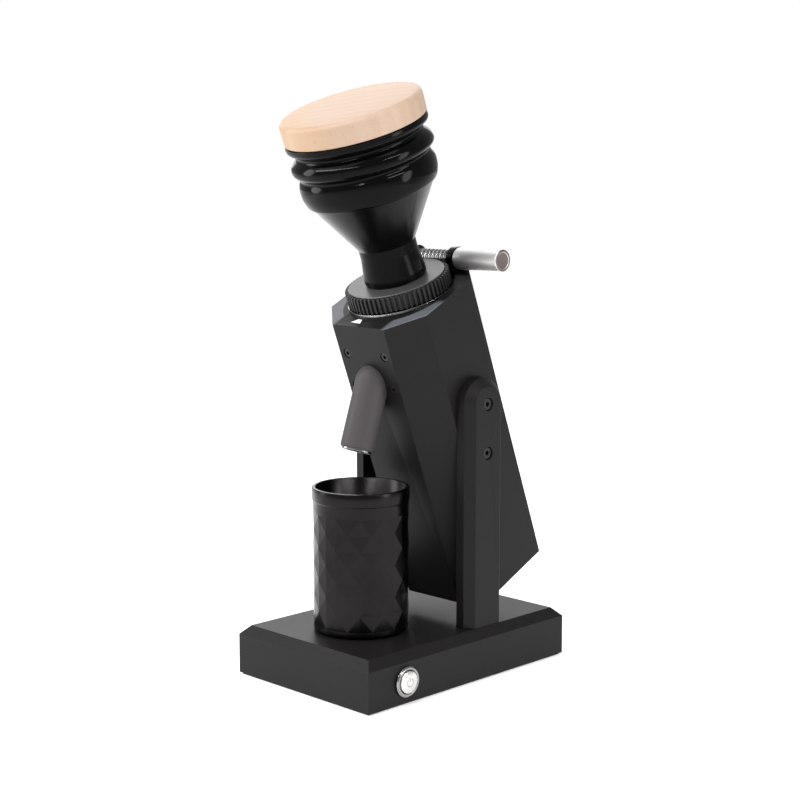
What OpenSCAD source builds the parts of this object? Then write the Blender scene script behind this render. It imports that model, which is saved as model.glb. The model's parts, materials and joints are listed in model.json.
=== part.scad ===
// Electric coffee grinder with a tilted body on two legs, a worm-adjusted
// grind dial, a bellows hopper and a dosing cup.
// X is the width, -Y is the front with the spout and the cup, +Z is up.
// The origin is the middle of the pad's underside.

/* [Base] */
// Width of the base box
base_w = 118; // [108:1:150]
// Depth of the base box
base_d = 178; // [150:1:220]
// Height of the base box above its pad
base_h = 30.6; // [26:0.2:45]
// Bevel round the top of the base
base_bevel = 5.6; // [2:0.2:8]
// Side wall of the base
base_wall = 4; // [3:0.5:6]
// Top wall of the base
base_top = 6; // [5:0.5:8]
// Thickness of the pad under the base
pad_t = 1.2; // [0.8:0.2:3]
// Thickness of the bottom plate
plate_t = 2; // [1.5:0.5:3]

/* [Legs] */
// Width of a leg, front to back
leg_w = 33.2; // [28:0.2:44]
// Thickness of a leg
leg_t = 11.4; // [10:0.2:14]
// Bevel along the outer edges of a leg
leg_bevel = 5.2; // [2:0.2:7]
// Height of the tilt pivot above the floor
pivot_z = 173.3; // [160:1:200]
// Distance of the tilt pivot behind the middle of the base
pivot_y = 20.8; // [10:0.5:30]
// Distance between the two screws of a leg
leg_screw_gap = 30.8; // [24:0.5:40]

/* [Body] */
// Width of the body
body_w = 84; // [80:1:90]
// Depth of the body
body_d = 83; // [80:1:90]
// Corner bevel of the body
body_bevel = 19.5; // [14:0.5:22]
// Length of the body's front face
body_len = 195; // [180:1:215]
// Wall of the body
body_wall = 5; // [4:0.5:6]
// Forward lean of the body from upright
tilt = 20.5; // [15:0.5:24]
// Slope of the bottom cut against a square cut
bottom_skew = 5.5; // [0:0.5:8]
// Slope of the top face against a square cut
top_skew = 6.5; // [0:0.5:8]
// Distance of the pivot below the top of the front face
pivot_drop = 67.4; // [60:0.5:75]

/* [Dial and worm] */
// Number of teeth on the dial
dial_teeth = 64; // [48:1:72]
// Tip radius of the dial
dial_r = 33.5; // [31:0.5:35]
// Height of the dial's toothed rim
dial_h = 10.4; // [8:0.2:12]
// Depth of the dial's teeth
tooth_depth = 1.8; // [1.2:0.1:2.2]
// Share of the pitch taken by a tooth
tooth_share = 0.42; // [0.3:0.02:0.45]
// Tip radius of the worm
worm_r = 5.3; // [4.5:0.1:6]
// Depth of the worm's thread
thread_depth = 1.7; // [1.2:0.1:2]
// How far the worm's tip reaches past the dial's tip
mesh_depth = 1; // [0.6:0.1:1.2]
// Radius of the worm's journals
journal_r = 2.5; // [2:0.1:3]
// Radius of the knob
knob_r = 7; // [6:0.5:9]
// Where the knob ends, to the right of the middle
knob_end = 57; // [50:1:65]

/* [Grinding set] */
// Outer radius of the burrs
burr_r = 32; // [28:0.5:32]
// Thickness of a burr
burr_t = 8; // [6:0.5:9]
// Gap between the burrs at rest
burr_gap = 0.6; // [0.5:0.05:1]
// Radius of the motor housing
motor_r = 28; // [24:0.5:29]
// Length of the motor housing
motor_len = 96; // [80:1:105]
// Radius of the drive shaft
shaft_r = 4; // [3:0.5:5]

/* [Spout] */
// Outer radius of the spout
spout_r = 10.75; // [9:0.25:12]
// Bore radius of the spout
spout_bore_r = 8.4; // [6:0.2:9]
// Length of the spout from its elbow to its mouth
spout_len = 44; // [34:1:50]
// Forward lean of the spout from plumb
spout_lean = 18.5; // [12:0.5:24]
// Distance of the spout's elbow below the top of the front face
spout_drop = 37; // [34:0.5:40]

/* [Hopper] */
// Radius of the hopper's mouth, outside the bellows
hopper_r = 44.5; // [40:0.5:48]
// Radius of the hopper's neck at its waist
neck_r = 18.2; // [17:0.2:20]
// Height of the cone's foot above the top of the front face
cone_foot = 37.8; // [34:0.2:44]
// Height of the bellows' lower edge above the top of the front face
cuff_foot = 71.2; // [66:0.2:80]
// Height of the lid's underside above the top of the front face
lid_foot = 113.8; // [106:0.2:125]
// Thickness of the lid
lid_t = 14.5; // [10:0.5:20]
// Wall of the hopper cone
cone_wall = 2.2; // [1.6:0.2:3]
// Wall of the bellows
bellows_wall = 2.2; // [1.6:0.2:3]

/* [Cup] */
// Outer radius of the cup's body
cup_r = 30; // [27:0.5:33]
// Height of the cup
cup_h = 91; // [80:1:96]
// Wall of the cup
cup_wall = 1.6; // [1:0.2:3]
// Height of the band round the cup's rim
cup_band = 8.5; // [5:0.5:14]
// Distance of the cup's axis in front of the middle of the base
cup_y = 38.4; // [34:0.2:46]

/* [Button and inlet] */
// Radius of the button's bezel
bezel_r = 9.5; // [8.5:0.25:11]
// Radius of the button's barrel
barrel_r = 8; // [6:0.25:8]
// Distance of the button in front of the middle of the base
button_y = 57.5; // [45:0.5:66]
// Travel of the button
button_travel = 1.6; // [1:0.1:2.5]
// Radius of the power inlet's barrel
inlet_r = 6; // [5:0.25:7]

/* [Hidden] */
$fn = 96;
// Small overshoot of a cut past the face it opens
cut = 1;
// Radial running clearance of a shaft or a slide in its bore
run = 0.05;
// Clearance between pieces that move past each other
gap = 0.3;
// Clearance of a loose assembly fit
loose = 0.2;
// Height of the base's top face
base_top_z = pad_t + base_h;
leg_x = body_w / 2;
leg_out = leg_x + leg_t;
leg_r = leg_w / 2;
head_shift = 1;
wall_y = body_d / 2;
skew_rise = tan(top_skew);
inner_w = body_w - 2 * body_wall;
inner_d = body_d - 2 * body_wall;
inner_bevel = body_bevel - body_wall * (2 - sqrt(2));
m3 = 1.5;
m4 = 2;
m3_head = 2.75;
m4_head = 3.5;
m3_sink = 3.1;
m4_sink = 4.1;

// heights along the body's axis, measured from the top of the front face
cover_foot = -6;
seat_top = 3;
washer_t = 1.3;
dial_foot = seat_top + washer_t + gap;
dial_top = dial_foot + dial_h;
hub_foot = cover_foot - 3;
guide_r = 2;
guide_ring = burr_r - 3.5;
retainer_w = 1.2;
hub_r = guide_ring - guide_r - retainer_w - gap;
sleeve_r = 19;
sleeve_bore = 16.5;
sleeve_top = dial_top + 0.5;
flange_top = -14;
flange_t = 5;
upper_top = flange_top - flange_t;
upper_foot = upper_top - burr_t;
lower_top = upper_foot - burr_gap;
lower_foot = lower_top - burr_t;
carrier_t = 6.4;
carrier_foot = lower_foot - carrier_t;
floor_top = carrier_foot - 3;
floor_t = 7;
chamber_foot = floor_top - floor_t;
chamber_r = min(body_w, body_d) / 2 - body_wall - 0.5;
chamber_bore = burr_r + 1.5;
burr_bore = 17;
motor_top = chamber_foot;
motor_foot = motor_top - motor_len;
// worm
worm_y = dial_r + worm_r - mesh_depth;
worm_z = dial_top - 2;
tooth_pitch = 2 * PI * dial_r / dial_teeth;
yoke_base_t = 2;
yoke_foot = worm_z - worm_r - yoke_base_t - 0.7;
ear_r = 7.5;
// the ears' near corners stand clear of the dial's teeth
left_ear_in = sqrt(pow(dial_r + gap, 2) - pow(worm_y - ear_r, 2));
left_ear_t = 3;
ear_in = left_ear_in + 0.6;
ear_t = 4.5;
trough_front = worm_y - ear_r - 5.3;
// hopper
neck_foot = sleeve_top;
neck_lip_r = neck_r + 1.6;
cone_top = lid_foot - 34;
cone_r = hopper_r - 5.4;

// the frame of the body: its z axis runs up the body, its y axis to the back
module head() {
    translate([0, pivot_y, pivot_z])
        rotate([tilt, 0, 0])
            translate([0, head_shift, pivot_drop])
                children();
}

module tube(r_out, r_in, z_low, z_high) {
    translate([0, 0, z_low])
        difference() {
            cylinder(r = r_out, h = z_high - z_low);
            translate([0, 0, -cut])
                cylinder(r = r_in, h = z_high - z_low + 2 * cut);
        }
}

// a rod of radius r between two heights
module rod(r, z_low, z_high) {
    translate([0, 0, z_low])
        cylinder(r = r, h = z_high - z_low);
}

// a rod of radius r along X
module rod_x(r, x_low, x_high) {
    translate([x_low, 0, 0])
        rotate([0, 90, 0])
            cylinder(r = r, h = x_high - x_low);
}

// socket head screw, its head's top at z = 0, pointing down
module cap_screw(r, head_r, head_h, length) {
    difference() {
        union() {
            rod(head_r, -head_h, 0);
            rod(r, -head_h - length, -head_h);
        }
        translate([0, 0, -head_h * 0.55])
            cylinder(r = head_r * 0.5, h = head_h, $fn = 6);
    }
}

// countersunk screw, its head's top at z = 0, pointing down
module flat_screw(r, length) {
    difference() {
        union() {
            translate([0, 0, -r])
                cylinder(r1 = r, r2 = 2 * r, h = r);
            rod(r, -length, -r);
        }
        translate([0, 0, -r * 0.7])
            cylinder(r = r * 0.8, h = r, $fn = 6);
    }
}

// a hole for a countersunk screw, its mouth at z = 0
module flat_sink(r, length) {
    translate([0, 0, -r])
        cylinder(r1 = r, r2 = 2 * r, h = r);
    rod(r, -length, cut);
}

module bevelled_profile(w, h, c) {
    polygon([[-w / 2, 0], [w / 2, 0], [w / 2, h - c], [w / 2 - c, h],
        [c - w / 2, h], [-w / 2, h - c]]);
}

module octagon(w, d, c) {
    polygon([[-w / 2 + c, -d / 2], [w / 2 - c, -d / 2], [w / 2, -d / 2 + c], [w / 2, d / 2 - c],
        [w / 2 - c, d / 2], [-w / 2 + c, d / 2], [-w / 2, d / 2 - c], [-w / 2, -d / 2 + c]]);
}

// ---------- base ----------
base_screw_x = base_w / 2 - 12;
base_screw_y = base_d / 2 - 12;
post_r = 5;
cavity_h = base_h - base_top;
button_z = pad_t + base_h * 0.43;
inlet_x = -30;
inlet_z = pad_t + base_h * 0.43;
fix_front = pivot_y - 10.5;
fix_back = pivot_y - 0.5;
cable_y = pivot_y + 8.5;
cable_x = -leg_x - leg_t / 2;
cable_r = 2.6;
cable_hole_r = 3.2;
cable_z = pivot_z - 53;

module base_corners() {
    for (x = [-1, 1])
        for (y = [-1, 1])
            translate([x * base_screw_x, y * base_screw_y, 0])
                children();
}

module leg_fixings() {
    for (x = [-1, 1])
        for (y = [fix_front, fix_back])
            translate([x * (leg_x + leg_t / 2), y, 0])
                children();
}

module base_shell() {
    color([0.2, 0.2, 0.2])
        difference() {
            union() {
                difference() {
                    translate([0, 0, pad_t])
                        intersection() {
                            rotate([90, 0, 0])
                                linear_extrude(base_d, center = true)
                                    bevelled_profile(base_w, base_h, base_bevel);
                            rotate([90, 0, 90])
                                linear_extrude(base_w, center = true)
                                    bevelled_profile(base_d, base_h, base_bevel);
                        }
                    translate([-base_w / 2 + base_wall, -base_d / 2 + base_wall, pad_t - cut])
                        cube([base_w - 2 * base_wall, base_d - 2 * base_wall, cavity_h + cut]);
                }
                base_corners()
                    rod(post_r, pad_t + plate_t, pad_t + cavity_h);
            }
            base_corners()
                rod(m3, pad_t + plate_t - cut, pad_t + plate_t + 12);
            leg_fixings() {
                rod(m4 + loose, pad_t, base_top_z + cut);
                rod(m4_head + loose, pad_t + plate_t, pad_t + cavity_h);
            }
            translate([cable_x, cable_y, 0])
                rod(cable_hole_r, pad_t, base_top_z + cut);
            translate([0, -button_y, button_z])
                rod_x(barrel_r + loose, base_w / 2 - base_wall - cut, base_w / 2 + cut);
            translate([inlet_x, base_d / 2, inlet_z])
                rotate([90, 0, 0])
                    translate([0, 0, -cut])
                        cylinder(r = inlet_r + loose, h = base_wall + 2 * cut);
        }
}

module bottom_plate() {
    plate_w = base_w - 2 * base_wall - 2 * loose;
    plate_d = base_d - 2 * base_wall - 2 * loose;
    color([0.35, 0.35, 0.36])
        difference() {
            translate([-plate_w / 2, -plate_d / 2, pad_t])
                cube([plate_w, plate_d, plate_t]);
            base_corners()
                translate([0, 0, pad_t])
                    mirror([0, 0, 1])
                        flat_sink(m3, plate_t + cut);
        }
}

module base_pad() {
    inset = 1.6;
    color([0.06, 0.06, 0.06])
        translate([-base_w / 2 + inset, -base_d / 2 + inset, 0])
            cube([base_w - 2 * inset, base_d - 2 * inset, pad_t]);
}

module base_screws() {
    color("silver")
        base_corners()
            translate([0, 0, pad_t])
                mirror([0, 0, 1])
                    flat_screw(m3, 10);
}

board_x = 34;
board_y = 66;
board_z = pad_t + plate_t + 5;
board_t = 1.6;

module board_corners() {
    for (x = [-1, 1])
        for (y = [-1, 1])
            translate([x * board_x, y * board_y, 0])
                children();
}

module board_standoffs() {
    color("gold")
        board_corners()
            tube(2.75, m3, pad_t + plate_t, board_z);
}

module control_board() {
    color([0.05, 0.3, 0.12])
        difference() {
            translate([-board_x - 4, -board_y - 4, board_z])
                cube([2 * board_x + 8, 2 * board_y + 8, board_t]);
            board_corners()
                rod(m3 + loose / 2, board_z - cut, board_z + board_t + cut);
        }
}

module transformer() {
    color([0.7, 0.6, 0.2]) {
        translate([-16, -30, board_z + board_t])
            cube([32, 28, 3]);
        translate([-12, -26, board_z + board_t + 3])
            cube([24, 20, 10]);
    }
}

module capacitors() {
    color([0.1, 0.1, 0.25])
        for (y = [8, 20, 32])
            for (x = [-8, 8])
                translate([x, y, 0])
                    rod(4.5, board_z + board_t, board_z + board_t + 12);
}

module heat_sink() {
    color([0.75, 0.75, 0.78])
        translate([-20, 44, board_z + board_t]) {
            cube([40, 14, 2]);
            for (i = [0:6])
                translate([i * 6, 0, 2])
                    cube([2, 14, 10]);
        }
}

// ---------- button, along +X from the base's right face ----------
bezel_t = 2.2;
cap_r = bezel_r - 2.6;
cap_proud = 1.4;
barrel_len = 15;
face_x = base_w / 2;

module at_button() {
    translate([face_x, -button_y, button_z])
        rotate([0, 90, 0])
            children();
}

module button_bezel() {
    color("silver")
        at_button()
            difference() {
                union() {
                    rotate_extrude()
                        polygon([[0, 0], [bezel_r, 0], [bezel_r, bezel_t - 0.8],
                            [bezel_r - 0.8, bezel_t], [0, bezel_t]]);
                    rod(barrel_r, -barrel_len, 0);
                }
                rod(cap_r, -barrel_len + 3, bezel_t + cut);
            }
}

module button_cap() {
    color([0.8, 0.8, 0.8])
        at_button()
            difference() {
                intersection() {
                    rod(cap_r - run, -6, bezel_t + cap_proud);
                    translate([0, 0, bezel_t + cap_proud - 24])
                        sphere(r = 24);
                }
                rod(cap_r - 1.6, -7, -1);
            }
}

module button_nut() {
    color("silver")
        at_button()
            difference() {
                translate([0, 0, -base_wall - 3])
                    cylinder(r = barrel_r + 2.4, h = 3, $fn = 6);
                rod(barrel_r, -base_wall - 3 - cut, -base_wall + cut);
            }
}

module button_terminals() {
    color("gold")
        at_button()
            for (y = [-4.5, -1.5, 1.5, 4.5])
                translate([-1.2, y - 0.3, -barrel_len - 6])
                    cube([2.4, 0.6, 6]);
}

// ---------- power inlet, along +Y from the base's back face ----------
module at_inlet() {
    translate([inlet_x, base_d / 2, inlet_z])
        rotate([-90, 0, 0])
            children();
}

module power_inlet() {
    color([0.08, 0.08, 0.08])
        at_inlet() {
            difference() {
                union() {
                    rod(inlet_r + 1.8, 0, 1.6);
                    rod(inlet_r, -13, 0);
                }
                rod(3.2, -10, 1.6 + cut);
            }
            rod(1, -10, -1);
        }
}

module inlet_nut() {
    color("silver")
        at_inlet()
            difference() {
                translate([0, 0, -base_wall - 2.5])
                    cylinder(r = inlet_r + 2.4, h = 2.5, $fn = 6);
                rod(inlet_r, -base_wall - 2.5 - cut, -base_wall + cut);
            }
}

// ---------- legs ----------
// places children at the heads of the two screws on one side
module leg_screw_places(side) {
    for (z = [pivot_z, pivot_z - leg_screw_gap])
        translate([side * leg_out, pivot_y, z])
            rotate([0, side * 90, 0])
                children();
}

head_recess = 1;
m4_head_h = 4;
bar_t = 6;
bar_in = body_w / 2 - body_wall;

module leg(side) {
    slab_t = leg_t - leg_bevel;
    difference() {
        mirror([side < 0 ? 1 : 0, 0, 0]) {
            translate([leg_x, pivot_y - leg_r, base_top_z])
                cube([slab_t, leg_w, pivot_z - base_top_z]);
            translate([0, pivot_y, pivot_z])
                rod_x(leg_r, leg_x, leg_x + slab_t);
            translate([0, 0, base_top_z])
                linear_extrude(pivot_z - base_top_z)
                    polygon([[leg_x + slab_t, pivot_y - leg_r],
                        [leg_out, pivot_y - leg_r + leg_bevel],
                        [leg_out, pivot_y + leg_r - leg_bevel],
                        [leg_x + slab_t, pivot_y + leg_r]]);
            translate([leg_x + slab_t, pivot_y, pivot_z])
                rotate([0, 90, 0])
                    cylinder(r1 = leg_r, r2 = leg_r - leg_bevel, h = leg_bevel);
        }
        leg_screw_places(side) {
            rod(m4 + loose / 2, -leg_t - cut, cut);
            rod(m4_sink, -head_recess - m4_head_h, cut);
        }
        leg_fixings()
            rod(m4 - 0.3, base_top_z - cut, base_top_z + 16);
        if (side < 0) {
            translate([cable_x, cable_y, 0])
                rod(cable_hole_r, base_top_z - cut, cable_z);
            translate([0, cable_y, cable_z]) {
                rod_x(cable_hole_r, cable_x, -leg_x + cut);
                translate([cable_x, 0, 0])
                    sphere(r = cable_hole_r);
            }
        }
    }
}

module left_leg() {
    color([0.21, 0.21, 0.21])
        leg(-1);
}

module right_leg() {
    color([0.21, 0.21, 0.21])
        leg(1);
}

module leg_fixing_screws() {
    color("silver")
        leg_fixings()
            translate([0, 0, base_top_z - base_top - m4_head_h])
                mirror([0, 0, 1])
                    cap_screw(m4 - 0.3, m4_head, m4_head_h, base_top + 14);
}

module leg_screws() {
    color([0.1, 0.1, 0.1])
        for (side = [-1, 1])
            leg_screw_places(side)
                translate([0, 0, -head_recess])
                    cap_screw(m4, m4_head, m4_head_h,
                        leg_t - head_recess - m4_head_h + body_wall + bar_t - 1);
}

module clamp_bars() {
    color([0.6, 0.6, 0.62])
        difference() {
            for (side = [-1, 1])
                mirror([side < 0 ? 1 : 0, 0, 0])
                    head()
                        translate([bar_in - bar_t, -18, -pivot_drop - leg_screw_gap - 8])
                            cube([bar_t, 24, leg_screw_gap + 16]);
            for (side = [-1, 1])
                leg_screw_places(side)
                    rod(m4, -leg_t - body_wall - bar_t - cut, 0);
        }
}

// ---------- body ----------
post_in = inner_bevel / 2 + 2.6;
post_x = inner_w / 2 - post_in;
post_y = inner_d / 2 - post_in;
body_post_r = 4;
cap_t = 4;

// half space below the body's bottom cut, pushed up by lift
module below_bottom(lift) {
    translate([0, -wall_y, -body_len])
        rotate([bottom_skew, 0, 0])
            translate([-100, -60, lift - 100])
                cube([200, 220, 100]);
}

// half space above the sloping top face
module above_top() {
    translate([0, -wall_y, 0])
        rotate([top_skew, 0, 0])
            translate([-100, -60, 0])
                cube([200, 220, 100]);
}

module body_posts() {
    for (x = [-1, 1])
        for (y = [-1, 1])
            translate([x * post_x, y * post_y, 0])
                children();
}

front_screw_x = 16.4;
front_screw_high = -19.5;
front_screw_low = -41.5;

module front_screw_places() {
    for (x = [-1, 1])
        for (z = [front_screw_high, front_screw_low])
            translate([x * front_screw_x, -wall_y, z])
                rotate([90, 0, 0])
                    children();
}

front_recess = 0.5;
m3_head_h = 3;

top_screw_x = body_w / 2 - 8.7;
top_screw_front = -wall_y + 16.6;
top_screw_back = trough_front - 1.5;

module top_screw_places() {
    for (x = [-1, 1])
        for (y = [top_screw_front, top_screw_back])
            translate([x * top_screw_x, y, (y + wall_y) * skew_rise - 1.2])
                children();
}

spout_turn = tilt + spout_lean;

module body_shell() {
    color([0.22, 0.22, 0.22])
        difference() {
            head()
                difference() {
                    union() {
                        difference() {
                            translate([0, 0, -body_len])
                                linear_extrude(body_len + cover_foot)
                                    octagon(body_w, body_d, body_bevel);
                            translate([0, 0, -body_len - cut])
                                linear_extrude(body_len + 2 * cut)
                                    octagon(inner_w, inner_d, inner_bevel);
                        }
                        body_posts()
                            rod(body_post_r, -body_len, -body_len + 34);
                        for (x = [-1, 1])
                            for (y = [top_screw_front, top_screw_back])
                                translate([x * (top_screw_x - 0.8), y, 0])
                                    rod(4, cover_foot - 14, cover_foot);
                    }
                    below_bottom(0);
                    intersection() {
                        below_bottom(cap_t);
                        translate([0, 0, -body_len - cut])
                            linear_extrude(body_len / 2)
                                octagon(inner_w, inner_d, inner_bevel);
                    }
                    body_posts()
                        rod(m3, -body_len - cut, -body_len + 30);
                    front_screw_places() {
                        rod(m3 + loose / 2, -body_wall - cut, cut);
                        rod(m3_sink, -front_recess - m3_head_h, cut);
                    }
                    translate([0, -wall_y, -spout_drop])
                        spout_hole();
                    top_screw_places()
                        rod(m3, -26, 0);
                    rod(chamber_r + loose / 2, cover_foot - 22, cover_foot + cut);
                }
            for (side = [-1, 1])
                leg_screw_places(side)
                    rod(m4 + loose / 2, -leg_t - body_wall - cut, 0);
            translate([0, cable_y, cable_z])
                rod_x(4, -leg_x - cut, -leg_x + body_wall + cut);
        }
}

pointer_deep = 0.2;

module top_cover() {
    color([0.22, 0.22, 0.22])
        head()
            difference() {
                union() {
                    difference() {
                        translate([0, 0, cover_foot])
                            linear_extrude(30)
                                octagon(body_w, body_d, body_bevel);
                        above_top();
                        rod(dial_r + 2.5, seat_top, 40);
                        translate([-left_ear_in - left_ear_t - 2, trough_front, yoke_foot])
                            cube([100, 40, 40]);
                    }
                    rod(dial_r + 0.5, cover_foot, seat_top);
                }
                rod(hub_r + run, cover_foot - cut, 40);
                top_screw_places()
                    flat_sink(m3, 14);
                yoke_screw_places()
                    rod(m3, -10, 0);
                guide_places()
                    rod(guide_r, cover_foot - cut, cover_foot + 4);
                pointer_solid();
            }
}

module top_screws() {
    color([0.1, 0.1, 0.1])
        head()
            top_screw_places()
                flat_screw(m3, 14);
}

// triangle on the sloping top face that points at the dial
module pointer_solid() {
    translate([0, -wall_y, 0])
        rotate([top_skew, 0, 0])
            translate([0, 0, -pointer_deep])
                linear_extrude(2 * pointer_deep)
                    polygon([[-9.5, 4.2], [-1, 3.6], [-4.2, 11]]);
}

// white inlay in its pocket
module pointer_mark() {
    color("white")
        head()
            pointer_solid();
}

module bottom_cap() {
    color([0.15, 0.15, 0.15])
        head()
            difference() {
                intersection() {
                    translate([0, 0, -body_len])
                        linear_extrude(body_len / 2)
                            octagon(inner_w - 2 * loose, inner_d - 2 * loose, inner_bevel);
                    below_bottom(cap_t);
                }
                below_bottom(0);
                cap_screw_places()
                    mirror([0, 0, 1])
                        flat_sink(m3, 12);
            }
}

// mouths of the bottom cap's screw holes, on the sloping cut
module cap_screw_places() {
    for (x = [-1, 1])
        for (y = [-1, 1])
            translate([x * post_x, y * post_y,
                -body_len + (y * post_y + wall_y) * tan(bottom_skew) + 0.3])
                children();
}

module bottom_cap_screws() {
    color([0.1, 0.1, 0.1])
        head()
            cap_screw_places()
                mirror([0, 0, 1])
                    flat_screw(m3, 12);
}

module front_screws() {
    color([0.1, 0.1, 0.1])
        head()
            front_screw_places()
                translate([0, 0, -front_recess])
                    cap_screw(m3, m3_head, m3_head_h, body_wall - front_recess - m3_head_h + 5);
}

// ---------- spout: a stub out of the body, a ball elbow and a tube ----------
spout_seat = 8.3;
ring_len = 6;

module at_elbow() {
    head()
        translate([0, -wall_y, -spout_drop])
            children();
}

// clearance for the stub and for the part of the tube that lies behind the front face
module spout_hole() {
    rotate([90, 0, 0])
        rod(spout_r + loose / 2, -spout_seat, cut);
    rotate([-spout_turn, 0, 0])
        rod(spout_r + loose / 2, -spout_r / tan(spout_turn) - cut, 0);
}

module spout_solid(r, mouth, stub) {
    sphere(r = r);
    rotate([-90, 0, 0])
        rod(r, 0, stub);
    rotate([-spout_turn, 0, 0])
        rod(r, -mouth, 0);
}

module spout() {
    color([0.25, 0.25, 0.25])
        at_elbow()
            difference() {
                union() {
                    sphere(r = spout_r);
                    rotate([-90, 0, 0])
                        rod(spout_r, 0, spout_seat);
                    rotate([-spout_turn, 0, 0])
                        translate([0, 0, -spout_len])
                            rotate_extrude()
                                polygon([[0, 0], [spout_r - 1.5, 0], [spout_r - 0.45, 0.45],
                                    [spout_r, 1.5], [spout_r, spout_len], [0, spout_len]]);
                }
                spout_solid(spout_bore_r, spout_len + cut, spout_r + cut);
                rotate([-spout_turn, 0, 0])
                    rod(spout_bore_r + 1, -spout_len - cut, -spout_len + ring_len);
            }
}

module spout_ring() {
    color("silver")
        at_elbow()
            rotate([-spout_turn, 0, 0])
                tube(spout_bore_r + 1, spout_bore_r, -spout_len - 0.9, -spout_len + ring_len);
}

// ---------- grinding chamber and motor ----------
motor_screw_ring = 20;

module guide_places() {
    for (a = [30, 150, 270])
        rotate([0, 0, a])
            translate([guide_ring, 0, 0])
                children();
}

module motor_screw_places() {
    for (a = [45:90:315])
        rotate([0, 0, a])
            translate([motor_screw_ring, 0, 0])
                children();
}

module grinding_chamber() {
    block_front = wall_y - body_wall;
    block_w = inner_w - 2 * inner_bevel - 2 * loose;
    color([0.5, 0.5, 0.52])
        head()
            difference() {
                union() {
                    rod(chamber_r, chamber_foot, cover_foot);
                    translate([-block_w / 2, -block_front, chamber_foot])
                        cube([block_w, 14, cover_foot - chamber_foot - 4]);
                }
                rod(chamber_bore, floor_top, cover_foot + cut);
                rod(shaft_r + 1, chamber_foot - cut, 0);
                rod(9, chamber_foot - cut, chamber_foot + 4);
                motor_screw_places()
                    translate([0, 0, floor_top])
                        flat_sink(m4, floor_t + cut);
                front_screw_places()
                    rod(m3, -body_wall - 6, 0);
                translate([0, -wall_y, -spout_drop]) {
                    spout_hole();
                    rotate([90, 0, 0])
                        rod(spout_bore_r, -20, 0);
                }
            }
}

module motor_screws() {
    color("silver")
        head()
            motor_screw_places()
                translate([0, 0, floor_top])
                    flat_screw(m4, floor_t + 7);
}

bell_t = 8;
can_wall = 2.5;
bearing_r = 11;
bearing_t = 7;

module motor_housing() {
    color([0.3, 0.3, 0.32])
        head()
            difference() {
                rod(motor_r, motor_foot, motor_top);
                rod(motor_r - can_wall, motor_foot + bell_t, motor_top - bell_t);
                rod(shaft_r + 1.5, motor_foot - cut, motor_top + cut);
                rod(bearing_r, motor_top - bell_t - cut, motor_top - bell_t + bearing_t - 1);
                rod(bearing_r, motor_foot + bell_t - bearing_t + 1, motor_foot + bell_t + cut);
                motor_screw_places()
                    rod(m4, motor_top - 7.2, motor_top + cut);
            }
}

module stator() {
    teeth = 12;
    stator_low = motor_foot + bell_t + 14;
    stator_high = motor_top - bell_t - 14;
    color([0.7, 0.4, 0.2])
        head()
            difference() {
                rod(motor_r - can_wall, stator_low, stator_high);
                rod(14.4, stator_low - cut, stator_high + cut);
                for (i = [0:teeth - 1])
                    rotate([0, 0, i * 360 / teeth])
                        translate([13, -1.4, stator_low - cut])
                            cube([8, 2.8, stator_high - stator_low + 2 * cut]);
            }
}

module motor_bearings() {
    color("silver")
        head() {
            tube(bearing_r, shaft_r + run, motor_top - bell_t - 1, motor_top - bell_t + bearing_t - 1);
            tube(bearing_r, shaft_r + run, motor_foot + bell_t - bearing_t + 1,
                motor_foot + bell_t + 1);
        }
}

module shaft_seal() {
    color([0.1, 0.1, 0.1])
        head()
            tube(9, shaft_r + run, chamber_foot, chamber_foot + 4);
}

// cable from the board up the left leg to the motor
module motor_cable() {
    low_z = pad_t + plate_t + 14;
    color([0.08, 0.08, 0.08]) {
        translate([0, cable_y, low_z])
            rod_x(cable_r, cable_x, -board_x - 4);
        translate([cable_x, cable_y, 0])
            rod(cable_r, low_z, cable_z);
        translate([0, cable_y, cable_z])
            rod_x(cable_r, cable_x, -motor_r - 1);
        for (z = [low_z, cable_z])
            translate([cable_x, cable_y, z])
                sphere(r = cable_r);
    }
}

module cable_grommet() {
    color([0.1, 0.1, 0.1])
        translate([-leg_x, cable_y, cable_z])
            rotate([0, 90, 0])
                tube(4, cable_r, 0, body_wall);
}

module guide_pins() {
    color("silver")
        head()
            guide_places()
                rod(guide_r, upper_top + 1, cover_foot + 4);
}

module dial_washer() {
    color("silver")
        head()
            tube(dial_r + 0.5, hub_r + 0.5, seat_top, seat_top + washer_t);
}

// ---------- worm, its yoke and its knob ----------
yoke_screw_x = 9;

module yoke_screw_places() {
    for (x = [-1, 1])
        translate([x * yoke_screw_x, wall_y - 1.6, yoke_foot])
            children();
}

module ear(x_low, x_high) {
    translate([x_low, worm_y - ear_r, yoke_foot])
        cube([x_high - x_low, 2 * ear_r, worm_z - yoke_foot]);
    translate([0, worm_y, worm_z])
        rod_x(ear_r, x_low, x_high);
}

module worm_yoke() {
    color([0.13, 0.13, 0.13])
        head()
            difference() {
                union() {
                    ear(ear_in, ear_in + ear_t);
                    ear(-left_ear_in - left_ear_t, -left_ear_in);
                    translate([-left_ear_in - left_ear_t, wall_y - 4.2, yoke_foot])
                        cube([left_ear_in + left_ear_t + ear_in + ear_t,
                            worm_y + ear_r - wall_y + 4.2, yoke_base_t]);
                }
                translate([0, worm_y, worm_z])
                    rod_x(journal_r + run, -40, 40);
                yoke_screw_places()
                    translate([0, 0, yoke_base_t])
                        flat_sink(m3, yoke_base_t + cut);
            }
}

module yoke_screws() {
    color("silver")
        head()
            yoke_screw_places()
                translate([0, 0, yoke_base_t])
                    flat_screw(m3, yoke_base_t + 8);
}

// radius of the worm's outline at angle a, which the twist turns into a thread
function worm_outline(a) =
    let (u = abs((a > 180 ? a - 360 : a)) / 180)
    worm_r - thread_depth * min(1, max(0, (u - 0.2) / 0.42));

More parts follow.
